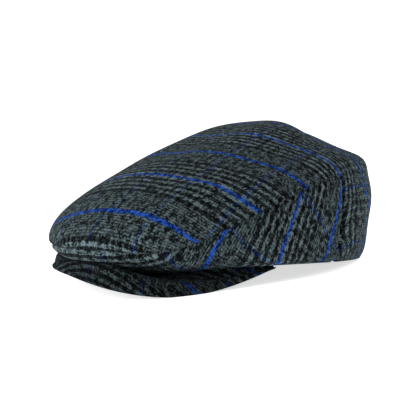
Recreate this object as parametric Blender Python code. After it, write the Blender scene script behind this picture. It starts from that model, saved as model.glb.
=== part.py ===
"""Flat cap of woven wool: a hollow crown of three sewn panels over a short bent peak.

The cap stands as it rests on a table, on the rear rim and the two low sides of the peak.
Front is -Y, the wearer's left is +X and up is +Z. Lengths are in metres, angles in degrees.
"""
import math
from collections import namedtuple

import bmesh
import bpy
import numpy as np
from mathutils import Vector
from mathutils.bvhtree import BVHTree

# Sizes of the head opening
HEAD_WIDTH = 0.1665
HEAD_FRONT = 0.101          # rim's centre to its front
HEAD_BACK = 0.1005          # rim's centre to its back

# Sizes of the crown, measured from the centre of the rim
CROWN_WIDTH = 0.197
CROWN_FRONT = 0.1562
CROWN_BACK = 0.1005
CROWN_HEIGHT = 0.1065
CREST_BACK = 0.0218         # how far the highest point lies behind the centre

# Sizes of the peak
PEAK_FRONT = 0.152          # rim's centre to the peak's front edge
PEAK_END = 0.0215           # rim's centre forward to the peak's two ends
PEAK_THICKNESS = 0.0045
PEAK_DROP = 0.0187          # lowest part of the bent edge, below the rim
PEAK_SAG = 0.0015           # dish of the peak's face near the rim
PEAK_BULGE = 0.0140         # rise of the peak's face just inside its edge
PEAK_SQUARENESS = 0.16
PEAK_CLEARANCE = 0.0008     # free space between the peak's face and the crown over it

# Cloth and sewing
WALL = 0.0022
GAP = 0.0003                # free space between neighbouring pieces
SEAM_SINK = 0.0007          # how deep the seams draw the cloth in
FLAT_DEPTH = 0.0010         # how much the cloth gives where it rests

# Turn of the two upright rear seams, measured from the front
REAR_SEAM_TURN = 108.0

# Soft cross dent behind the highest point
DENT_DEPTH = 0.0021
DENT_BACK = 0.0405
DENT_HALF_LENGTH = 0.0065
DENT_HALF_WIDTH = 0.055

CROWN_COLOUR = (0.075, 0.082, 0.088, 1.0)
SIDE_COLOUR = (0.060, 0.066, 0.072, 1.0)
PEAK_COLOUR = (0.050, 0.055, 0.060, 1.0)
CLOTH_ROUGHNESS = 0.95

# Sections of the crown from the rim (level 0) up to the crest (level 1).
# Widths are shares of half CROWN_WIDTH, front and back of CROWN_FRONT and CROWN_BACK,
# widest is the widest point's place as a share of CROWN_BACK, heights, and the droop
# of the front centre, are shares of CROWN_HEIGHT, and fullness squares the outline.
Section = namedtuple("Section", "level width front back widest front_height side_height "
                                "back_height droop fullness")
CREST = CREST_BACK / CROWN_BACK
SECTIONS = (
    Section(0.00, HEAD_WIDTH / CROWN_WIDTH, HEAD_FRONT / CROWN_FRONT, HEAD_BACK / CROWN_BACK,
            0.00, 0.022, 0.013, -0.013, 0.091, 0.03),
    Section(0.14, 0.919, 0.815, 0.990, -0.04, 0.085, 0.048, 0.133, 0.105, 0.06),
    Section(0.28, 0.977, 0.945, 0.975, -0.09, 0.137, 0.183, 0.332, 0.082, 0.09),
    Section(0.40, 0.999, 1.000, 0.980, -0.09, 0.187, 0.352, 0.498, 0.037, 0.10),
    Section(0.52, 0.951, 0.965, 0.953, -0.045, 0.285, 0.526, 0.620, 0.000, 0.10),
    Section(0.64, 0.871, 0.842, 0.927, 0.02, 0.428, 0.685, 0.712, 0.000, 0.09),
    Section(0.78, 0.630, 0.592, 0.757, 0.09, 0.640, 0.828, 0.786, 0.000, 0.06),
    Section(0.90, 0.326, 0.230, 0.519, 0.15, 0.853, 0.973, 0.910, 0.000, 0.03),
    Section(1.00, 0.000, -CREST_BACK / CROWN_FRONT, CREST, CREST, 1.0, 1.0, 1.0, 0.0, 0.0),
)

# Level of the seam between the top panel and a side panel, by the turn from the front
SeamPoint = namedtuple("SeamPoint", "turn level")
SEAM = (
    SeamPoint(0, 0.385), SeamPoint(15, 0.370), SeamPoint(32, 0.322), SeamPoint(45, 0.305),
    SeamPoint(56, 0.350), SeamPoint(66, 0.413), SeamPoint(76, 0.465), SeamPoint(88, 0.517),
    SeamPoint(REAR_SEAM_TURN, 0.555),
)

# Underside of the peak's edge, by the sweep from its right end (-90) over its middle (0) to
# its left end (90), as shares of PEAK_DROP; its left half is bent down a little more
EdgePoint = namedtuple("EdgePoint", "sweep height")
PEAK_EDGE = (
    EdgePoint(-90, 0.00), EdgePoint(-78, -0.56), EdgePoint(-60, -1.00), EdgePoint(-40, -0.46),
    EdgePoint(-20, -0.25), EdgePoint(0, -0.32), EdgePoint(20, -0.60), EdgePoint(40, -0.90),
    EdgePoint(60, -0.99), EdgePoint(78, -0.56), EdgePoint(90, 0.00),
)

# Columns of the panels, and rows as shares of the way across a panel
SIDE_TURNS = [0.0, 2.0] + [6.0 + 4.0 * step for step in range(25)] + [106.0, REAR_SEAM_TURN]
BACK_STEPS = 18
SIDE_ROWS = (0.0, 0.05, 0.16, 0.30, 0.45, 0.60, 0.74, 0.86, 0.95, 1.0)
TOP_ROWS = (0.0, 0.03, 0.08, 0.14, 0.21, 0.29, 0.38, 0.48, 0.58, 0.68, 0.77, 0.85, 0.92, 0.97, 1.0)
BACK_ROWS = (0.0, 0.04, 0.16, 0.32, 0.50, 0.68, 0.84, 1.0)
PEAK_LAST_SWEEP = 87.0
PEAK_COLUMNS = 44
PEAK_ROWS = (0.0, 0.2, 0.4, 0.55, 0.67, 0.77, 0.85, 0.92, 1.0)
PEAK_EDGE_STEPS = 4


def spline(places, values, flat_start=False):
    """Smooth natural curve through a few rows of a table; returns a function of the place."""
    x, y = np.array(places, float), np.array(values, float)
    count = len(x)
    width = np.diff(x)
    slope = np.diff(y) / width
    system, right = np.eye(count), np.zeros(count)
    for i in range(1, count - 1):
        system[i, i - 1:i + 2] = (width[i - 1], 2 * (width[i - 1] + width[i]), width[i])
        right[i] = 6 * (slope[i] - slope[i - 1])
    if flat_start:
        system[0, :2] = (2 * width[0], width[0])
        right[0] = 6 * slope[0]
    bend = np.linalg.solve(system, right)

    def value(place):
        i = int(min(max(np.searchsorted(x, place) - 1, 0), count - 2))
        a, b = x[i + 1] - place, place - x[i]
        return float((bend[i] * a ** 3 + bend[i + 1] * b ** 3) / (6 * width[i])
                     + (y[i] / width[i] - bend[i] * width[i] / 6) * a
                     + (y[i + 1] / width[i] - bend[i + 1] * width[i] / 6) * b)
    return value


def over_the_crest(values, sign):
    """The table's rows carried on over the crest and down the other side."""
    levels = [row.level for row in SECTIONS]
    places = levels + [2 - level for level in levels[-2::-1]]
    return spline(places, list(values) + [sign * value for value in values[-2::-1]])


widest_at = over_the_crest([row.widest * CROWN_BACK for row in SECTIONS], 1)
width_at = over_the_crest([row.width * CROWN_WIDTH / 2 for row in SECTIONS], -1)
front_at = over_the_crest([-row.front * CROWN_FRONT - row.widest * CROWN_BACK for row in SECTIONS], -1)
back_at = over_the_crest([(row.back - row.widest) * CROWN_BACK for row in SECTIONS], -1)
front_height_at = over_the_crest([row.front_height * CROWN_HEIGHT for row in SECTIONS], 1)
side_height_at = over_the_crest([row.side_height * CROWN_HEIGHT for row in SECTIONS], 1)
back_height_at = over_the_crest([row.back_height * CROWN_HEIGHT for row in SECTIONS], 1)
droop_at = over_the_crest([row.droop * CROWN_HEIGHT for row in SECTIONS], 1)
fullness_at = over_the_crest([row.fullness for row in SECTIONS], 1)
seam_level = spline([p.turn for p in SEAM], [p.level for p in SEAM], flat_start=True)
peak_edge_height = spline([p.sweep for p in PEAK_EDGE], [p.height * PEAK_DROP for p in PEAK_EDGE])


def crown_point(level, turn):
    """Point of the crown's outer face; turn 0 is the front, 90 the left and 180 the back."""
    angle = math.radians(turn)
    s, c = math.sin(angle), math.cos(angle)
    fullness, front, back = fullness_at(level), front_at(level), back_at(level)
    reach = c * (1 + fullness * s * s)
    x = width_at(level) * s * (1 + fullness * c * c)
    y = widest_at(level) + (front - back) / 2 * reach + (front + back) / 2 * reach ** 2
    high, low, side = front_height_at(level), back_height_at(level), side_height_at(level)
    z = side + (high - low) / 2 * reach + ((high + low) / 2 - side) * reach ** 2
    z -= droop_at(level) * ((1 + c) / 2) ** 6
    if level > 0.5:
        along = (y - DENT_BACK) / DENT_HALF_LENGTH
        across = x / DENT_HALF_WIDTH
        z -= DENT_DEPTH * math.exp(-along ** 2 - across ** 2)
    return Vector((x, y, z))


def crown_normal(level, turn):
    """Outward direction of the crown's face."""
    step = 0.001
    if level > 1 - 2 * step:
        along = crown_point(1 - step, 0) - crown_point(1 - step, 180)
        across = crown_point(1 - step, 90) - crown_point(1 - step, 270)
    else:
        along = crown_point(level + step, turn) - crown_point(level - step, turn)
        across = crown_point(level, turn + 0.2) - crown_point(level, turn - 0.2)
    return across.cross(along).normalized() * (-1 if level > 1 - 2 * step else 1)


class Sheet:
    """Cloth laid on the crown: corners named by level and turn, and the faces between them."""

    def __init__(self):
        self.points, self.normals, self.faces, self.names = [], [], [], {}

    def corner(self, level, turn):
        if level > 1 - 1e-6:
            level, turn = 1.0, 0.0
        name = (round(level, 6), round(turn % 360, 6))
        if name not in self.names:
            self.names[name] = len(self.points)
            self.points.append(crown_point(level, turn))
            self.normals.append(crown_normal(level, turn))
        return self.names[name]

    def rows(self, turns, levels_at):
        """Faces between columns at the given turns, each with its own list of levels."""
        for left, right in zip(turns, turns[1:]):
            one, two = levels_at(left), levels_at(right)
            for row in range(len(one) - 1):
                face = [self.corner(one[row], left), self.corner(two[row], right),
                        self.corner(two[row + 1], right), self.corner(one[row + 1], left)]
                self.faces.append([v for i, v in enumerate(face) if v != face[i - 1]])

    def borders(self):
        """Directed edges that belong to one face only."""
        edges = [(a, b) for face in self.faces for a, b in zip(face, face[1:] + face[:1])]
        known = set(edges)
        return [(a, b) for a, b in edges if (b, a) not in known]

    def finish_borders(self, rim_level):
        """Draws the sewn borders in by half the gap and sinks them into the crown."""
        inward, rim = {}, {}
        names = {index: name for name, index in self.names.items()}
        for a, b in self.borders():
            both_rim = names[a][0] <= rim_level and names[b][0] <= rim_level
            run = (self.points[b] - self.points[a]).normalized()
            for corner in (a, b):
                rim.setdefault(corner, []).append(both_rim)
                if not both_rim:
                    side = self.normals[corner].cross(run).normalized()
                    inward.setdefault(corner, []).append(side)
        for corner, sides in inward.items():
            if len(sides) == 2:
                shift = (sides[0] + sides[1]) / (1 + sides[0].dot(sides[1]))
            else:
                shift = sides[0]
            self.points[corner] += shift * GAP / 2 - self.normals[corner] * SEAM_SINK


def walled(sheet):
    """Closed cloth wall: the sheet's outer face, its inner face and the cut edges."""
    count = len(sheet.points)
    points = list(sheet.points) + [p - n * WALL for p, n in zip(sheet.points, sheet.normals)]
    faces = [list(face) for face in sheet.faces]
    faces += [[corner + count for corner in reversed(face)] for face in sheet.faces]
    faces += [[b, a, a + count, b + count] for a, b in sheet.borders()]
    return points, faces


def side_panel(side):
    """A side panel, from the front centre round to the rear seam; side is 1 left, -1 right."""
    sheet = Sheet()
    turns = SIDE_TURNS if side > 0 else [360 - turn for turn in reversed(SIDE_TURNS)]

    def levels(turn):
        top = seam_level(min(turn, 360 - turn))
        return [share * top for share in SIDE_ROWS]
    sheet.rows(turns, levels)
    sheet.finish_borders(0.0)
    return walled(sheet)


def top_panel():
    """The crown's top and back in one piece."""
    sheet = Sheet()
    back = [REAR_SEAM_TURN + (360 - 2 * REAR_SEAM_TURN) * step / BACK_STEPS for step in range(BACK_STEPS + 1)]
    back[1:1] = [REAR_SEAM_TURN + 2.0]
    back[-1:-1] = [360 - REAR_SEAM_TURN - 2.0]
    sides = SIDE_TURNS + back[1:] + [360 - turn for turn in reversed(SIDE_TURNS[:-1])]

    def crown_levels(turn):
        low = seam_level(min(turn, 360 - turn, REAR_SEAM_TURN))
        return [low + (1 - low) * share for share in TOP_ROWS]

    def back_levels(turn):
        return [seam_level(REAR_SEAM_TURN) * share for share in BACK_ROWS]
    sheet.rows(sides, crown_levels)
    sheet.rows(back, back_levels)
    sheet.finish_borders(0.0)
    return walled(sheet)


def lip(share):
    """Shape of the bulge across the peak, highest (1) at five sixths of the way to the edge."""
    return share ** 5 * (1 - share) * 6 ** 6 / 5 ** 5


def peak(crown):
    """The bent peak, its top tucked under the crown and its edge rounded."""
    end_turn = math.degrees(math.acos(PEAK_END / HEAD_FRONT))
    rings = []
    for column in range(PEAK_COLUMNS + 1):
        sweep = PEAK_LAST_SWEEP * (2 * column / PEAK_COLUMNS - 1)
        s, c = math.sin(math.radians(sweep)), math.cos(math.radians(sweep))
        turn = sweep / 90 * end_turn
        rim = crown_point(0, turn)
        hem = rim - crown_normal(0, turn) * WALL
        start = Vector((hem.x, hem.y, min(rim.z, hem.z) - GAP))
        taper = min(1.0, (90 - abs(sweep)) / 14)
        thick = PEAK_THICKNESS * (0.45 + 0.55 * taper)
        edge = Vector((HEAD_WIDTH / 2 * s * (1 + PEAK_SQUARENESS * c * c),
                       -PEAK_END - (PEAK_FRONT - PEAK_END) * c * (1 + PEAK_SQUARENESS * s * s),
                       peak_edge_height(sweep) + thick))
        out = (edge - start).normalized()
        edge -= out * thick / 2
        top = []
        for share in PEAK_ROWS:
            point = start.lerp(edge, share)
            point.z += PEAK_BULGE * lip(share) * c ** 2 - PEAK_SAG * math.sin(math.pi * share)
            beside_seam = math.copysign(max(abs(point.x), 3 * GAP), point.x)
            below = Vector((beside_seam, point.y, point.z - CROWN_HEIGHT))
            above = crown.ray_cast(below, Vector((0, 0, 1)))
            if above[0] is not None:
                point.z = min(point.z, above[0].z - (PEAK_CLEARANCE if share else GAP))
            top.append(point)
        down = Vector((0, 0, -thick))
        ring = list(top)
        for step in range(1, PEAK_EDGE_STEPS):
            angle = math.pi * step / PEAK_EDGE_STEPS
            ring.append(top[-1] + down * (1 - math.cos(angle)) / 2 + out * math.sin(angle) * thick / 2)
        ring += [point + down for point in reversed(top)]
        rings.append(ring)
    size = len(rings[0])
    points = [point for ring in rings for point in ring]
    faces = []
    for column in range(PEAK_COLUMNS):
        for i in range(size):
            j = (i + 1) % size
            faces.append([column * size + i, column * size + j,
                          (column + 1) * size + j, (column + 1) * size + i])
    for first in (0, PEAK_COLUMNS * size):
        for i in range(size // 2):
            cap = [first + i, first + i + 1, first + size - 2 - i, first + size - 1 - i]
            faces.append([v for k, v in enumerate(cap) if v != cap[k - 1]])
    return points, faces


def resting_place(pieces):
    """How far the cap tips onto its rear rim and the low sides of its peak, its middle and its floor."""
    points = np.array([point for cloth, _ in pieces.values() for point in cloth])
    tip = 0.0
    for _ in range(6):
        c, s = math.cos(tip), math.sin(tip)
        y, z = points[:, 1] * c + points[:, 2] * s, points[:, 2] * c - points[:, 1] * s
        front, back = np.argmin(np.where(y < 0, z, 1)), np.argmin(np.where(y > 0, z, 1))
        tip += math.atan2(z[back] - z[front], y[back] - y[front])
    return tip, (max(y) + min(y)) / 2, min(z) + FLAT_DEPTH


def resting(pieces):
    """The cap as it rests, centred, with the cloth flattened where it touches the table."""
    tip, middle, floor = resting_place(pieces)
    c, s = math.cos(tip), math.sin(tip)

    def place(point):
        return Vector((point.x, point.y * c + point.z * s - middle,
                       max(point.z * c - point.y * s - floor, 0.0)))
    return {name: ([place(point) for point in cloth], faces) for name, (cloth, faces) in pieces.items()}


def cloth_material(name, colour):
    material = bpy.data.materials.new(name)
    material.use_nodes = True
    shader = material.node_tree.nodes["Principled BSDF"]
    shader.inputs["Base Color"].default_value = colour
    shader.inputs["Roughness"].default_value = CLOTH_ROUGHNESS
    shader.inputs["Metallic"].default_value = 0.0
    return material


def add_object(name, cloth, material):
    points, faces = cloth
    bm = bmesh.new()
    corners = [bm.verts.new(point) for point in points]
    for face in faces:
        bm.faces.new([corners[i] for i in face])
    bmesh.ops.recalc_face_normals(bm, faces=bm.faces)
    mesh = bpy.data.meshes.new(name)
    bm.to_mesh(mesh)
    bm.free()
    mesh.shade_smooth()
    mesh.materials.append(material)
    bpy.context.collection.objects.link(bpy.data.objects.new(name, mesh))


def main():
    for old in list(bpy.data.objects):
        bpy.data.objects.remove(old)
    pieces = {"top_panel": top_panel(), "left_side_panel": side_panel(1), "right_side_panel": side_panel(-1)}
    points, faces = [], []
    for name in ("left_side_panel", "right_side_panel"):
        start = len(points)
        points += pieces[name][0]
        faces += [[corner + start for corner in face] for face in pieces[name][1]]
    pieces["peak"] = peak(BVHTree.FromPolygons(points, faces))
    pieces = resting(pieces)
    looks = {"top_panel": ("top panel wool", CROWN_COLOUR), "left_side_panel": ("left panel wool", SIDE_COLOUR),
             "right_side_panel": ("right panel wool", SIDE_COLOUR), "peak": ("peak wool", PEAK_COLOUR)}
    for name, cloth in pieces.items():
        add_object(name, cloth, cloth_material(*looks[name]))


main()
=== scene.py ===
"""Flat cap of grey glen check wool with blue overcheck lines, resting on a pale studio floor."""
import math
from collections import namedtuple

import bmesh
import bpy
import numpy as np
from mathutils import Euler, Matrix, Vector, noise
from mathutils.bvhtree import BVHTree


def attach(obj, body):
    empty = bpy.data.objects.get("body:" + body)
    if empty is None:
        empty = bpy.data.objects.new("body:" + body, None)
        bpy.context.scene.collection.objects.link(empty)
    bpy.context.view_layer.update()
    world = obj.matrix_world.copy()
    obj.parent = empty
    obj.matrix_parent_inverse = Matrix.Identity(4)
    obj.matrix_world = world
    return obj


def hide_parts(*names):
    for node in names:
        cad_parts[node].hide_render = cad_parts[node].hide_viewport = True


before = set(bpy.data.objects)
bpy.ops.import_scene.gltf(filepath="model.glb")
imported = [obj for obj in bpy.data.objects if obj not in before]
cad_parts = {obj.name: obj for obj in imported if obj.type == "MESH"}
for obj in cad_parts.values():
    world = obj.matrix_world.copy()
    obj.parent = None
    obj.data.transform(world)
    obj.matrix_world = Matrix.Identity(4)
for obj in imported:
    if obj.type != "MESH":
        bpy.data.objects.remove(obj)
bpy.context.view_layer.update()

# Sizes of the cap, in metres, from the centre of the rim
HEAD_WIDTH, HEAD_FRONT, HEAD_BACK = 0.1665, 0.101, 0.1005
CROWN_WIDTH, CROWN_FRONT, CROWN_BACK, CROWN_HEIGHT = 0.197, 0.1562, 0.1005, 0.1065
CREST_BACK = 0.02531
PEAK_FRONT, PEAK_END, PEAK_THICKNESS, PEAK_DROP = 0.152, 0.0215, 0.0045, 0.0187
PEAK_SAG, PEAK_BULGE, PEAK_SQUARENESS, PEAK_CLEARANCE = 0.0015, 0.0140, 0.16, 0.0008
DENT_DEPTH, DENT_BACK, DENT_HALF_LENGTH, DENT_HALF_WIDTH = 0.0021, 0.0405, 0.0065, 0.055
CLOTH = 0.0022
SEAM_GAP = 0.0003
REAR_SEAM = 108.0

# How the cap is tipped onto its rear rim and peak, and moved to stand on the floor
REST_TIP = 0.08704
REST_BACK = 0.02583
REST_UP = 0.00912

Section = namedtuple("Section", "level width front back widest front_height side_height "
                                "back_height droop fullness")
SECTIONS = (
    Section(0.00, HEAD_WIDTH / CROWN_WIDTH, HEAD_FRONT / CROWN_FRONT, HEAD_BACK / CROWN_BACK,
            0.00, 0.022, 0.013, -0.013, 0.091, 0.03),
    Section(0.14, 0.919, 0.815, 0.990, -0.04, 0.085, 0.048, 0.133, 0.105, 0.06),
    Section(0.28, 0.977, 0.945, 0.975, -0.09, 0.137, 0.183, 0.332, 0.082, 0.09),
    Section(0.40, 0.999, 1.000, 0.980, -0.09, 0.187, 0.352, 0.498, 0.037, 0.10),
    Section(0.52, 0.951, 0.965, 0.953, -0.045, 0.285, 0.526, 0.620, 0.000, 0.10),
    Section(0.64, 0.871, 0.842, 0.927, 0.02, 0.428, 0.685, 0.712, 0.000, 0.09),
    Section(0.78, 0.630, 0.592, 0.757, 0.09, 0.640, 0.828, 0.786, 0.000, 0.06),
    Section(0.90, 0.326, 0.230, 0.519, 0.15, 0.853, 0.973, 0.910, 0.000, 0.03),
    Section(1.00, 0.000, -CREST_BACK / CROWN_FRONT, CREST_BACK / CROWN_BACK,
            CREST_BACK / CROWN_BACK, 1.0, 1.0, 1.0, 0.0, 0.0),
)
SeamPoint = namedtuple("SeamPoint", "turn level")
SEAM = (
    SeamPoint(0, 0.385), SeamPoint(15, 0.370), SeamPoint(32, 0.322), SeamPoint(45, 0.305),
    SeamPoint(56, 0.350), SeamPoint(66, 0.413), SeamPoint(76, 0.465), SeamPoint(88, 0.517),
    SeamPoint(REAR_SEAM, 0.555),
)
EdgePoint = namedtuple("EdgePoint", "sweep height")
PEAK_EDGE = (
    EdgePoint(-90, 0.00), EdgePoint(-78, -0.56), EdgePoint(-60, -1.00), EdgePoint(-40, -0.46),
    EdgePoint(-20, -0.25), EdgePoint(0, -0.32), EdgePoint(20, -0.60), EdgePoint(40, -0.90),
    EdgePoint(60, -0.99), EdgePoint(78, -0.56), EdgePoint(90, 0.00),
)

# How the cloth dips into its seams, puckers beside them and waves between them
SEAM_DIP, SEAM_REACH = 0.0017, 0.0019
PUCKER, PUCKER_REACH, PUCKER_LENGTH, REAR_PUCKERS = 0.00025, 0.009, 1.3, 100.0
SECOND_PUCKER, SECOND_PUCKERS, SECOND_SHIFT = 0.6, 1.7, 1.0
PLAIN_BACK, PLAIN_BACK_TURN = 0.02, 8.0   # the top panel has no seam across the back
WAVE, WAVE_FADE, CROWN_WAVES = 0.0012, 0.08, 26.0
SIDE_CLEARANCE, TOP_CLEARANCE, TURN_CLEARANCE = 0.0004, 0.0003, 0.015   # in level and in degrees
CUT_EDGE, CUT_EDGE_STEPS = 0.0009, 3

# How the peak starts under the rim, thins towards its ends and bends to its edge
PEAK_START_WIDTH, PEAK_START_LENGTH = 0.975, 0.978
PEAK_SWEEP, PEAK_END_THICKNESS, PEAK_END_SWEEP = 89.6, 0.2, 16.0
PEAK_FACE, PEAK_WAVE, PEAK_WAVES = 0.46, 0.6, 30.0
PEAK_STEEP, PEAK_FAR_STEEP, PEAK_FAR_OVER = 5.0, 6.0, 28.0
TUCK_SHARE, TUCK_INWARDS, TUCK_UP = 0.06, 0.030, 0.0045
BESIDE_SEAM, FAR_BELOW = 0.001, 0.1

TOP_ACROSS, TOP_ALONG = 0.0623, -0.0558
TOP_STRETCH, TOP_SLANT, TOP_LEAN, TOP_FAN, TOP_BOW = 1.15, 0.21, -0.456, 0.93, 0.77
NOSE, NOSE_EASING = 0.150, 0.35
TOP_DRAWN_FRONT, TOP_DRAWN_BACK, TOP_DRAWN_WIDTH = 0.012, 0.178, 0.183
TOP_DRAWN_FROM, TOP_DRAWN_OVER = 0.1765, 0.201
CREST_EASE, CREST_EASE_REACH = 0.012, 0.040
NOSE_EASE, NOSE_EASE_FROM, NOSE_EASE_OVER = 0.004, 0.105, 0.045
SEAM_EASE, SEAM_EASE_TURN, SEAM_EASE_TOP, SEAM_EASE_OVER, SEAM_EASE_START = 0.051, 20.0, 0.60, 0.36, 8.0
PEAK_GRAIN, PEAK_ACROSS, PEAK_ALONG = 26.0, 0.0005, -0.0715
ClothRow = namedtuple("ClothRow", "turn low_across high_across low_along high_along")
SIDE_CLOTH = (
    ClothRow(0, -0.146, -0.174, -0.050, -0.083), ClothRow(30, -0.104, -0.120, -0.050, -0.081),
    ClothRow(45, -0.085, -0.091, -0.043, -0.073), ClothRow(60, -0.073, -0.060, -0.022, -0.053),
    ClothRow(75, -0.059, -0.028, -0.002, -0.029), ClothRow(90, -0.044, 0.002, 0.030, 0.002),
    ClothRow(REAR_SEAM, -0.014, 0.036, 0.066, 0.046),
)

# How finely the sheets are made: faces across and along each, steps of a path over the cloth, and how the
# rows of faces crowd at the seams
TOP_GRID, SIDE_GRID = (((260, 64), (130, 40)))
PEAK_GRID = (120, 60)
CROWN_STEPS, PEAK_STEPS = 40, 30
CROWN_ROWS, SIDE_ROWS = 1.4, 1.5
LEVEL_STEP, TURN_STEP, CROWN_MIDDLE = 0.002, 0.5, 0.03
CUT_ANGLE = 50.0   # only edges sharper than this are rounded, in degrees


def spline(places, values, flat_start=False):
    """Smooth curve through a few rows of a table; works on whole arrays of places."""
    x, y = np.array(places, float), np.array(values, float)
    count, width = len(x), np.diff(x)
    slope = np.diff(y) / width
    system, right = np.eye(count), np.zeros(count)
    for i in range(1, count - 1):
        system[i, i - 1:i + 2] = (width[i - 1], 2 * (width[i - 1] + width[i]), width[i])
        right[i] = 6 * (slope[i] - slope[i - 1])
    if flat_start:
        system[0, :2] = (2 * width[0], width[0])
        right[0] = 6 * slope[0]
    bend = np.linalg.solve(system, right)

    def value(place):
        i = np.clip(np.searchsorted(x, place) - 1, 0, count - 2)
        a, b = x[i + 1] - place, place - x[i]
        return ((bend[i] * a ** 3 + bend[i + 1] * b ** 3) / (6 * width[i])
                + (y[i] / width[i] - bend[i] * width[i] / 6) * a
                + (y[i + 1] / width[i] - bend[i + 1] * width[i] / 6) * b)
    return value


def over_the_crest(values, sign):
    """The table's rows carried on over the crest and down the other side."""
    levels = [row.level for row in SECTIONS]
    places = levels + [2 - level for level in levels[-2::-1]]
    return spline(places, list(values) + [sign * value for value in values[-2::-1]])


widest_at = over_the_crest([row.widest * CROWN_BACK for row in SECTIONS], 1)
width_at = over_the_crest([row.width * CROWN_WIDTH / 2 for row in SECTIONS], -1)
front_at = over_the_crest([-row.front * CROWN_FRONT - row.widest * CROWN_BACK for row in SECTIONS], -1)
back_at = over_the_crest([(row.back - row.widest) * CROWN_BACK for row in SECTIONS], -1)
front_height_at = over_the_crest([row.front_height * CROWN_HEIGHT for row in SECTIONS], 1)
side_height_at = over_the_crest([row.side_height * CROWN_HEIGHT for row in SECTIONS], 1)
back_height_at = over_the_crest([row.back_height * CROWN_HEIGHT for row in SECTIONS], 1)
droop_at = over_the_crest([row.droop * CROWN_HEIGHT for row in SECTIONS], 1)
fullness_at = over_the_crest([row.fullness for row in SECTIONS], 1)
seam_level = spline([p.turn for p in SEAM], [p.level for p in SEAM], flat_start=True)
peak_edge_height = spline([p.sweep for p in PEAK_EDGE], [p.height * PEAK_DROP for p in PEAK_EDGE])
cloth_low_across, cloth_high_across, cloth_low_along, cloth_high_along = (
    spline([row.turn for row in SIDE_CLOTH], [row[column] for row in SIDE_CLOTH]) for column in range(1, 5))


def crown_surface(level, turn):
    """Points of the crown's outer face for arrays of levels and turns, before it is tipped to rest."""
    angle = np.radians(turn)
    s, c = np.sin(angle), np.cos(angle)
    fullness, front, back = fullness_at(level), front_at(level), back_at(level)
    reach = c * (1 + fullness * s * s)
    x = width_at(level) * s * (1 + fullness * c * c)
    y = widest_at(level) + (front - back) / 2 * reach + (front + back) / 2 * reach ** 2
    high, low, side = front_height_at(level), back_height_at(level), side_height_at(level)
    z = side + (high - low) / 2 * reach + ((high + low) / 2 - side) * reach ** 2
    z = z - droop_at(level) * ((1 + c) / 2) ** 6
    dent = np.exp(-((y - DENT_BACK) / DENT_HALF_LENGTH) ** 2 - (x / DENT_HALF_WIDTH) ** 2)
    z = z - np.where(level > 0.5, DENT_DEPTH * dent, 0)
    return np.stack([x, y, z], -1)


def at_rest(points):
    """Tips points of the cap from the rim's own frame onto the floor, flattened where they rest."""
    x, y, z = points[..., 0], points[..., 1], points[..., 2]
    c, s = math.cos(REST_TIP), math.sin(REST_TIP)
    return np.stack([x, y * c + z * s + REST_BACK, np.maximum(z * c - y * s + REST_UP, 0)], -1)


def outwards(level, turn):
    """Outward directions of the crown's face, and its run in metres per level and per degree."""
    climb = crown_surface(level + LEVEL_STEP, turn) - crown_surface(level - LEVEL_STEP, turn)
    climb = climb / (2 * LEVEL_STEP)
    round_ = crown_surface(level, turn + TURN_STEP) - crown_surface(level, turn - TURN_STEP)
    round_ = round_ / (2 * TURN_STEP)
    out = np.cross(round_, climb)
    size = np.linalg.norm(out, axis=-1, keepdims=True)
    out = np.where(size > 1e-9, out / np.maximum(size, 1e-9), np.array([0.0, 0.0, 1.0]))
    from_middle = crown_surface(level, turn) - np.array([0.0, 0.0, CROWN_MIDDLE])
    out *= np.where((out * from_middle).sum(-1, keepdims=True) < 0, -1.0, 1.0)
    return out, np.linalg.norm(climb, axis=-1), np.linalg.norm(round_, axis=-1)


def sewn(level, turn, to_seams):
    """Points of the crown's cloth: it dips into its seams, with small puckers, and isn't quite even."""
    point = crown_surface(level, turn)
    out, _, _ = outwards(level, turn)
    dip = 0.0 * level
    for distance, place in to_seams:
        dip = dip - SEAM_DIP * np.exp(-(distance / SEAM_REACH) ** 2)
        dip = dip + PUCKER * np.exp(-(distance / PUCKER_REACH) ** 2) * (
            np.sin(place / PUCKER_LENGTH)
            + SECOND_PUCKER * np.sin(place / PUCKER_LENGTH * SECOND_PUCKERS + SECOND_SHIFT))
    uneven = np.array([noise.noise(Vector(p) * CROWN_WAVES) for p in point])
    fade = np.clip(level / WAVE_FADE, 0, 1)
    return point + out * (dip + WAVE * uneven * fade)[:, None]


def grid(bm, across, along, place, layer):
    """A grid of faces; place turns shares across and along into points and cloth places."""
    made = bmesh.ops.create_grid(bm, x_segments=across, y_segments=along, size=0.5)["verts"]
    shares = np.array([(v.co.x + 0.5, v.co.y + 0.5) for v in made])
    points, cloth = place(shares[:, 0], shares[:, 1])
    for vert, point, laid, row in zip(made, points, cloth, shares[:, 1]):
        vert.co = point
        vert[layer] = (laid[0], laid[1], row)


def cloth_piece(name, sheets, close=False):
    """One sheet of cloth from one or more grids, with a cloth map in metres across and along the check."""
    bm = bmesh.new()
    layer = bm.verts.layers.float_vector.new("laid")
    for across, along, place in sheets:
        grid(bm, across, along, place, layer)
    bmesh.ops.remove_doubles(bm, verts=bm.verts, dist=1e-5)
    if close:
        rows = [e for e in bm.edges if e.is_boundary and e.verts[0][layer].z == e.verts[1][layer].z]
        bmesh.ops.bridge_loops(bm, edges=rows)
        bmesh.ops.holes_fill(bm, edges=[e for e in bm.edges if e.is_boundary], sides=0)
    bmesh.ops.recalc_face_normals(bm, faces=bm.faces)
    cloth_map = bm.loops.layers.uv.new("cloth")
    for face in bm.faces:
        face.smooth = True
        for loop in face.loops:
            loop[cloth_map].uv = loop.vert[layer].xy
    bm.verts.layers.float_vector.remove(layer)
    mesh = bpy.data.meshes.new(name)
    bm.to_mesh(mesh)
    bm.free()
    piece = bpy.data.objects.new(name, mesh)
    bpy.context.collection.objects.link(piece)
    return piece


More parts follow.
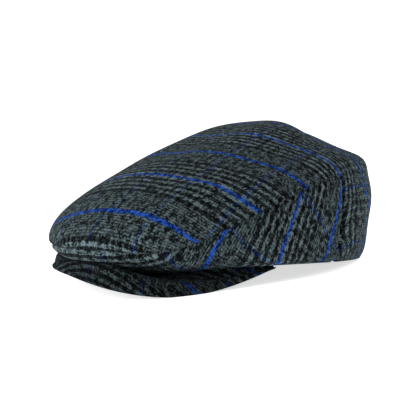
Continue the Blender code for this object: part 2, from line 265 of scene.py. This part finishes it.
def thicken(piece, thickness, round_over, steps):
    """Gives the sheet its thickness, inwards, and rounds its cut edges."""
    wall = piece.modifiers.new("wall", "SOLIDIFY")
    wall.thickness, wall.offset, wall.use_even_offset = thickness, -1, False
    edge = piece.modifiers.new("rounded edge", "BEVEL")
    edge.affect, edge.limit_method, edge.angle_limit = "EDGES", "ANGLE", math.radians(CUT_ANGLE)
    edge.width, edge.segments, edge.profile, edge.material = round_over, steps, 0.5, -1
    edge.use_clamp_overlap = True


def smooth_step(share):
    """Eases from 0 to 1, level at both ends."""
    share = np.clip(share, 0, 1)
    return share * share * (3 - 2 * share)


def laid_on_top(level, turn):
    """Where the top panel's points lie in the check: it drapes from the crest, drawn down at the sides."""
    steps = np.linspace(0, 1, CROWN_STEPS)
    levels = level[:, None] + (1 - level[:, None]) * steps
    path = crown_surface(levels, np.repeat(turn[:, None], len(steps), axis=1))
    reach = np.linalg.norm(np.diff(path, axis=1), axis=2).sum(1)
    away = path[:, 0, :2] - np.array([0.0, CREST_BACK])
    distance = np.maximum(np.linalg.norm(away, axis=1), 1e-9)
    left = reach * away[:, 0] / distance
    front = -reach * away[:, 1] / distance
    front = front - np.maximum(front - NOSE, 0) * NOSE_EASING
    drawn = TOP_DRAWN_FRONT + TOP_DRAWN_BACK * smooth_step((TOP_DRAWN_FROM - front) / TOP_DRAWN_OVER)
    along = TOP_ALONG + TOP_STRETCH * front + TOP_SLANT * left
    along = along + drawn * left ** 2 / (left ** 2 + TOP_DRAWN_WIDTH ** 2)
    along = along - CREST_EASE * np.exp(-(left ** 2 + front ** 2) / CREST_EASE_REACH ** 2)
    along = along - NOSE_EASE * smooth_step((front - NOSE_EASE_FROM) / NOSE_EASE_OVER)
    way = np.minimum(turn, 360 - turn)
    down = smooth_step((SEAM_EASE_TOP - level) / SEAM_EASE_OVER)
    down = down * smooth_step((way - REAR_SEAM + SEAM_EASE_START) / SEAM_EASE_START)
    along = along - SEAM_EASE * down * np.clip(1 - (way - REAR_SEAM) / SEAM_EASE_TURN, 0, 1)
    across = TOP_ACROSS + left + TOP_LEAN * front + TOP_FAN * left * front + TOP_BOW * front ** 2
    return np.stack([across, along], -1)


def laid_on_side(level, turn):
    """Where a side panel's points lie in the check, from the rows of the cloth table."""
    share = level / seam_level(turn)
    across = cloth_low_across(turn) * (1 - share) + cloth_high_across(turn) * share
    along = cloth_low_along(turn) * (1 - share) + cloth_high_along(turn) * share
    return np.stack([across, along], -1)


def peak_span(sweep):
    """Where the peak's middle layer starts under the rim and ends at its edge, and its half thickness."""
    s, c = np.sin(np.radians(sweep)), np.cos(np.radians(sweep))
    turn = sweep / 90 * math.degrees(math.acos(PEAK_END / HEAD_FRONT))
    full = smooth_step((90 - np.abs(sweep)) / PEAK_END_SWEEP)
    half = PEAK_THICKNESS / 2 * (PEAK_END_THICKNESS + (1 - PEAK_END_THICKNESS) * full)
    start = crown_surface(0 * turn, turn) * np.array([PEAK_START_WIDTH, PEAK_START_LENGTH, 1])
    start[..., 2] -= SEAM_GAP + half
    edge = np.stack([HEAD_WIDTH / 2 * s * (1 + PEAK_SQUARENESS * c * c),
                     -PEAK_END - (PEAK_FRONT - PEAK_END) * c * (1 + PEAK_SQUARENESS * s * s),
                     peak_edge_height(sweep) + half], -1)
    run = edge - start
    run /= np.linalg.norm(run[..., :2], axis=-1, keepdims=True)
    return start, edge - run * half[..., None], run, half


def peak_middle(sweep, share):
    """Points of the peak's bent middle layer, by their share of the way from the rim to the edge."""
    start, edge, _, _ = peak_span(sweep)
    point = start * (1 - share[..., None]) + edge * share[..., None]
    steep = PEAK_STEEP + PEAK_FAR_STEEP * smooth_step(-sweep / PEAK_FAR_OVER)
    bulge = share ** steep * (1 - share) * (steep + 1) ** (steep + 1) / steep ** steep
    point[..., 2] += (PEAK_BULGE * bulge * np.cos(np.radians(sweep)) ** 2
                      - PEAK_SAG * np.sin(math.pi * share))
    return point


def laid_on_peak(sweep, share, over):
    """Where the peak's points lie in the check: it is laid from the rim over the bend to the edge."""
    steps = np.linspace(0, 1, PEAK_STEPS)
    path = peak_middle(np.repeat(sweep[:, None], len(steps), axis=1), share[:, None] * steps)
    reach = np.linalg.norm(np.diff(path, axis=1), axis=2).sum(1) + over
    start, _, run, _ = peak_span(sweep)
    right, back = (start[:, :2] + run[:, :2] * reach[:, None]).T
    turn = math.radians(PEAK_GRAIN)
    return np.stack([right * math.cos(turn) + back * math.sin(turn) + PEAK_ACROSS,
                     right * math.sin(turn) - back * math.cos(turn) + PEAK_ALONG], -1)


def side_sheet(side):
    """A side panel, from the rim up to the top panel's seam; side is 1 on the left and -1 on the right."""
    def place(across, along):
        along = 1 - (1 - along) ** SIDE_ROWS
        turn = across * (REAR_SEAM - 2 * TURN_CLEARANCE) + TURN_CLEARANCE
        level = along * (seam_level(turn) - SIDE_CLEARANCE)
        _, climb, round_ = outwards(level, turn)
        seams = (((seam_level(turn) - level) * climb, turn),
                 ((REAR_SEAM - turn) * round_, level * REAR_PUCKERS))
        return at_rest(sewn(level, turn, seams) * np.array([side, 1, 1])), laid_on_side(level, turn)
    return place


def crown_sheet(across, along):
    """The upper part of the top panel, from its seam round the crown up to the crest."""
    turn = across * 360
    way = np.minimum(turn, 360 - turn)
    low = seam_level(np.minimum(way, REAR_SEAM))
    level = low + TOP_CLEARANCE + (1 - TOP_CLEARANCE - low) * along ** CROWN_ROWS
    _, climb, _ = outwards(level, turn)
    behind = smooth_step((way - REAR_SEAM + PLAIN_BACK_TURN / 2) / PLAIN_BACK_TURN)
    seams = (((level - low) * climb + PLAIN_BACK * behind, turn),)
    return at_rest(sewn(level, turn, seams)), laid_on_top(level, turn)


def back_sheet(across, along):
    """The lower part of the top panel, down the back between the rear seams to the rim."""
    turn = REAR_SEAM + (360 - 2 * REAR_SEAM) * across
    level = (float(seam_level(REAR_SEAM)) + TOP_CLEARANCE) * along
    _, _, round_ = outwards(level, turn)
    way = np.minimum(turn, 360 - turn)
    seams = (((way - REAR_SEAM) * round_, level * REAR_PUCKERS),)
    return at_rest(sewn(level, turn, seams)), laid_on_top(level, turn)


def under_the_crown(points, crown):
    """Keeps points of the peak a little below the crown above them."""
    for point in points:
        beside_seam = math.copysign(max(abs(point[0]), BESIDE_SEAM), point[0])
        above = crown.ray_cast(Vector((beside_seam, point[1], point[2] - FAR_BELOW)), Vector((0, 0, 1)))[0]
        if above is not None:
            point[2] = min(point[2], above.z - PEAK_CLEARANCE)


def peak_sheet(across, along, crown):
    """The peak, from under the rim over its upper face, round its bent edge and back underneath."""
    sweep = PEAK_SWEEP * (2 * across - 1)
    share = np.minimum(np.where(along < 0.5, along, 1 - along) / PEAK_FACE, 1.0)
    round_ = np.clip((along - PEAK_FACE) / (1 - 2 * PEAK_FACE), 0, 1) * math.pi
    _, _, run, half = peak_span(sweep)
    point = peak_middle(sweep, share)
    point += run * (half * np.sin(round_))[:, None]
    point[:, 2] += half * np.cos(round_)
    wave = np.array([noise.noise(Vector(p) * PEAK_WAVES) for p in point])
    point[:, 2] += WAVE * PEAK_WAVE * wave * share * (1 - share) * 4
    tucked = smooth_step(1 - share / TUCK_SHARE)
    point[:, :2] *= (1 - TUCK_INWARDS * tucked)[:, None]
    point[:, 2] += TUCK_UP * tucked
    lying = at_rest(point)
    under_the_crown(lying, crown)
    return lying, laid_on_peak(sweep, share, half * round_)


class Number:
    """A number, colour or vector in a material, with the usual arithmetic."""

    def __init__(self, tree, socket):
        self.tree, self.socket = tree, socket

    def put(self, socket, item):
        if isinstance(item, Number):
            self.tree.links.new(item.socket, socket)
        else:
            socket.default_value = item

    def node(self, kind, settings=None, sockets=None, output=0):
        made = self.tree.nodes.new(kind)
        for name, value in (settings or {}).items():
            setattr(made, name, value)
        for name, item in (sockets or {}).items():
            self.put(made.inputs[name], item)
        return Number(self.tree, made.outputs[output])

    def maths(self, operation, *items):
        return self.node("ShaderNodeMath", {"operation": operation}, dict(enumerate((self,) + items)))

    def __add__(self, other):
        return self.maths("ADD", other)

    def __sub__(self, other):
        return self.maths("SUBTRACT", other)

    def __rsub__(self, other):
        return self.node("ShaderNodeMath", {"operation": "SUBTRACT"}, {0: other, 1: self})

    def __mul__(self, other):
        return self.maths("MULTIPLY", other)

    def __truediv__(self, other):
        return self.maths("DIVIDE", other)

    def __mod__(self, other):
        return self.maths("FLOORED_MODULO", other)

    def __lt__(self, other):
        return self.maths("LESS_THAN", other)

    def __abs__(self):
        return self.maths("ABSOLUTE")

    __radd__, __rmul__ = __add__, __mul__

    def mix(self, first, second):
        """Colour between two colours by this share."""
        return self.node("ShaderNodeMix", {"data_type": "RGBA"}, {0: self, 6: first, 7: second}, output=2)


# The cloth: threads, and the stripes that they are laid in
THREAD = 0.0005
WARP_WIDTH = 0.50         # the weft is fuller and covers part of each warp thread
HALF_REPEAT = 90          # threads between two blue lines
COARSE_HALF = 51          # threads from the middle of a coarse band to its edge
COARSE_STRIPE, FINE_STRIPE = 6, 2   # threads in one dark or light stripe
FINE_CONTRAST = 0.55      # the fine stripes blur into each other in the fulled cloth
BOLD_BLUE, THIN_BLUE = 3, 2   # half widths of the blue lines, in threads
DARK, DARK_PALE = (0.0003, 0.0005, 0.0006, 1), (0.0045, 0.0067, 0.0074, 1)
GREY, GREY_PALE = (0.0050, 0.0073, 0.0081, 1), (0.1300, 0.1800, 0.1930, 1)
BLUE, BLUE_PALE = (0.0010, 0.0080, 0.0700, 1), (0.0150, 0.0820, 0.4200, 1)
HAZE, BLACK = (0.0260, 0.0360, 0.0390, 1), (0, 0, 0, 1)
NAP = 0.0006              # how far the nap stands up
PEAK_PAINTED_SHADE = 0.36         # painted shade: the peak's cloth is darkened because it lies in the crown's shadow
SLOW_WANDER, QUICK_WANDER = 3.2, 2.4   # how far the threads wander, in threads
WANDER_ACROSS, WANDER_ALONG = (70.0, 420.0), (83.0, 390.0)   # clouds to the metre, as in the next line
FINE_FLECKS, BROAD_FLECKS, HAIRS, PATCHES = 600.0, 210.0, 2300.0, 120.0
FLECK_FROM, FLECK_TO = 0.442, 0.576
VEIL_FROM, VEIL_TO, VEIL_SHARE = 0.50, 0.72, 0.09


def stripe(thread, blue_half):
    """Whether a thread is light, and whether it is blue, by its number."""
    coarse_way = abs((thread + 0.5 + HALF_REPEAT) % (2 * HALF_REPEAT) - HALF_REPEAT)
    fine_way = HALF_REPEAT - coarse_way
    coarse = coarse_way < COARSE_HALF
    wide = ((coarse_way + COARSE_STRIPE / 2) / COARSE_STRIPE).maths("FLOOR") % 2
    narrow = 1 - (fine_way / FINE_STRIPE).maths("FLOOR") % 2
    light = coarse * wide + (1 - coarse) * (narrow * FINE_CONTRAST + (1 - FINE_CONTRAST) / 2)
    blue = coarse_way.maths("MINIMUM", fine_way) < blue_half
    return light, blue


def glen_check(name, painted_shade):
    """Fulled wool in a two and two twill, in coarse and fine stripes both ways, with blue lines, darkened
    by painted shade where asked.
    """
    material = bpy.data.materials.new(name)
    material.use_nodes = True
    tree = material.node_tree
    shader = tree.nodes["Principled BSDF"]
    start = Number(tree, None)
    laid = start.node("ShaderNodeUVMap", {"uv_map": "cloth"})

    def cloud(scale, detail=2.0):
        return start.node("ShaderNodeTexNoise", {}, {"Vector": laid, "Scale": scale, "Detail": detail})

    def wander(slow, quick):
        return (cloud(slow) - 0.5) * SLOW_WANDER + (cloud(quick) - 0.5) * QUICK_WANDER

    place = start.node("ShaderNodeSeparateXYZ", {}, {0: laid})
    place_along = Number(tree, place.socket.node.outputs[1])
    across = place / THREAD + wander(*WANDER_ACROSS)
    along = place_along / THREAD + wander(*WANDER_ALONG)
    warp, weft = across.maths("FLOOR"), along.maths("FLOOR")
    warp_light, warp_blue = stripe(warp, THIN_BLUE)
    weft_light, weft_blue = stripe(weft, BOLD_BLUE)
    step = (warp + weft) % 4
    warp_up = (step < 2 - weft_blue) * (abs(across - warp - 0.5) < WARP_WIDTH / 2)
    light = warp_up * warp_light + (1 - warp_up) * weft_light
    blue = warp_up * warp_blue + (1 - warp_up) * weft_blue
    fleck = cloud(FINE_FLECKS, 3.0) * 0.55 + cloud(BROAD_FLECKS) * 0.45
    flecks = fleck.node("ShaderNodeMapRange", {}, {0: fleck, 1: FLECK_FROM, 2: FLECK_TO})
    grey = flecks.mix(GREY, GREY_PALE)
    dark = flecks.mix(DARK, DARK_PALE)
    woven = blue.mix(light.mix(dark, grey), flecks.mix(BLUE, BLUE_PALE))
    hairs, patch = cloud(HAIRS, 3.0), cloud(PATCHES, 3.0)
    veil = start.node("ShaderNodeMapRange", {}, {
        0: hairs * 0.5 + patch * 0.5, 1: VEIL_FROM, 2: VEIL_TO, 3: 0.0, 4: VEIL_SHARE})
    wool = veil.mix(woven, HAZE)
    # painted shade: the colour is darkened here on the peak, which lies in the crown's shadow; the crown's
    # panels are left as they are
    wool_with_painted_shade = start.node("ShaderNodeMix", {"data_type": "RGBA"}, {0: painted_shade, 6: BLACK, 7: wool}, output=2)
    start.put(shader.inputs["Base Color"], wool_with_painted_shade)
    nap = fleck * 0.9 + hairs * 0.3 + warp_up * 0.1 + patch * 0.4
    rise = start.node("ShaderNodeBump", {}, {"Strength": 0.6, "Distance": NAP, "Height": nap})
    start.put(shader.inputs["Normal"], rise)
    shader.inputs["Roughness"].default_value = 0.95
    shader.inputs["Specular IOR Level"].default_value = 0.05
    shader.inputs["Sheen Weight"].default_value = 0.012
    shader.inputs["Sheen Roughness"].default_value = 0.35
    shader.inputs["Sheen Tint"].default_value = (0.88, 1.0, 1.0, 1)
    return material


def build_cap():
    """The four pieces of cloth; the peak comes last, so that it stays clear of the crown above it."""
    back_grid = (round(TOP_GRID[0] * (360 - 2 * REAR_SEAM) / 360), SIDE_GRID[1])
    top = cloth_piece("top_panel_cloth", [(*TOP_GRID, crown_sheet), (*back_grid, back_sheet)])
    left = cloth_piece("left_side_cloth", [(*SIDE_GRID, side_sheet(1))])
    right = cloth_piece("right_side_cloth", [(*SIDE_GRID, side_sheet(-1))])
    corners, faces = [], []
    for piece in (left, right):
        faces += [[len(corners) + i for i in p.vertices] for p in piece.data.polygons]
        corners += [v.co.copy() for v in piece.data.vertices]
    crown = BVHTree.FromPolygons(corners, faces)
    peak = cloth_piece("peak_cloth", [(*PEAK_GRID, lambda a, b: peak_sheet(a, b, crown))], close=True)
    for piece in (top, left, right):
        thicken(piece, CLOTH, CUT_EDGE, CUT_EDGE_STEPS)
    return top, left, right, peak


for piece, node in zip(build_cap(), ("top_panel", "left_side_panel", "right_side_panel", "peak")):
    # the peak's wool is darkened with painted shade for the crown's shadow over it
    piece.data.materials.append(glen_check(piece.name + " wool", PEAK_PAINTED_SHADE if node == "peak" else 1.0))
    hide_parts(node)
    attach(piece, "root")


# Studio: the backdrop, the lights and the camera, in metres, degrees, watts and pixels of the photo
VIEW_TURN, VIEW_RISE, VIEW_ROLL = 56.0, 5.45, -0.16
VIEW_DISTANCE = 1.2
FOCAL_PIXELS, PHOTO_PIXELS, SENSOR_WIDTH = 1524.0, 420, 36
AIM_RIGHT, AIM_UP = -28.04, 46.66
FLOOR_HALF_WIDTH, FLOOR_FRONT, FLOOR_BACK, FLOOR_RUN, WALL_BEND = 8, 3, 3, 10, 1.5
FLOOR_ROWS, FAR_CLIP = 60, 50
PAPER_GLOW, ROOM_GLOW = 0.66, 0.25
Softbox = namedtuple("Softbox", "name place size power")
SOFTBOXES = (
    Softbox("overhead softbox", (0.1, 0.1, 1.6), 1.0, 0.8),
    Softbox("front softbox", (-0.1, -1.6, 0.65), 1.0, 31),
    Softbox("rear softbox", (0.4, 1.6, 0.7), 1.2, 23),
)


def backdrop():
    """A pale floor that curves up into a wall behind the cap, as seen from the camera."""
    bm = bmesh.new()
    bmesh.ops.create_grid(bm, x_segments=2, y_segments=FLOOR_ROWS, size=1)
    for vert in bm.verts:
        run = (vert.co.y + 1) * FLOOR_RUN / 2 - FLOOR_FRONT
        x, y, z = vert.co.x * FLOOR_HALF_WIDTH, run, 0.0
        if run > FLOOR_BACK:
            bend = min((run - FLOOR_BACK) / WALL_BEND, math.pi / 2)
            y = FLOOR_BACK + WALL_BEND * math.sin(bend)
            z = WALL_BEND * (1 - math.cos(bend)) + max(run - FLOOR_BACK - WALL_BEND * math.pi / 2, 0)
        vert.co = Vector((x, y, z))
    mesh = bpy.data.meshes.new("backdrop")
    bm.to_mesh(mesh)
    bm.free()
    mesh.shade_smooth()
    piece = bpy.data.objects.new("backdrop", mesh)
    piece.rotation_euler = Euler((0, 0, math.radians(VIEW_TURN)))
    bpy.context.collection.objects.link(piece)
    paper = bpy.data.materials.new("white paper")
    paper.use_nodes = True
    shader = paper.node_tree.nodes["Principled BSDF"]
    shader.inputs["Base Color"].default_value = (0.90, 0.90, 0.90, 1)
    shader.inputs["Emission Color"].default_value = (1, 1, 1, 1)
    shader.inputs["Emission Strength"].default_value = PAPER_GLOW
    shader.inputs["Roughness"].default_value = 1.0
    shader.inputs["Specular IOR Level"].default_value = 0.0
    mesh.materials.append(paper)


def soft_light(name, place, size, power):
    """A square softbox turned to the cap."""
    light = bpy.data.lights.new(name, "AREA")
    light.shape, light.size, light.size_y, light.energy = "RECTANGLE", size, size, power
    lamp = bpy.data.objects.new(name, light)
    lamp.location = place
    lamp.rotation_euler = (-Vector(place)).to_track_quat("-Z", "Y").to_euler()
    bpy.context.collection.objects.link(lamp)


backdrop()
for softbox in SOFTBOXES:
    soft_light(*softbox)
world = bpy.data.worlds.new("studio")
world.use_nodes = True
world.node_tree.nodes["Background"].inputs["Color"].default_value = (1, 1, 1, 1)
world.node_tree.nodes["Background"].inputs["Strength"].default_value = ROOM_GLOW
bpy.context.scene.world = world
bpy.context.scene.view_settings.view_transform = "Standard"


def photo_camera():
    """Camera at the photo's angle, worked out in the rim's frame and tipped with the cap."""
    a, e = math.radians(VIEW_TURN), math.radians(VIEW_RISE)
    back = Vector((math.sin(a) * math.cos(e), -math.cos(a) * math.cos(e), math.sin(e)))
    right = Vector((math.cos(a), math.sin(a), 0))
    up = back.cross(right)
    tip = Matrix.Rotation(-REST_TIP, 3, "X")
    camera = bpy.data.objects.new("camera", bpy.data.cameras.new("camera"))
    camera.location = tip @ (back * VIEW_DISTANCE) + Vector((0, REST_BACK, REST_UP))
    right, up, back = tip @ right, tip @ up, tip @ back
    turned = Matrix((right, up, back)).transposed() @ Matrix.Rotation(math.radians(-VIEW_ROLL), 3, "Z")
    aim = (turned @ Vector((AIM_RIGHT, AIM_UP, -FOCAL_PIXELS))).normalized()
    side = turned @ Vector((1, 0, 0))
    side = (side - aim * side.dot(aim)).normalized()
    camera.rotation_mode = "QUATERNION"
    camera.rotation_quaternion = Matrix((side, side.cross(aim), -aim)).transposed().to_quaternion()
    camera.data.sensor_width = SENSOR_WIDTH
    camera.data.lens = SENSOR_WIDTH * FOCAL_PIXELS / PHOTO_PIXELS
    camera.data.clip_end = FAR_CLIP
    bpy.context.collection.objects.link(camera)
    bpy.context.scene.camera = camera


photo_camera()
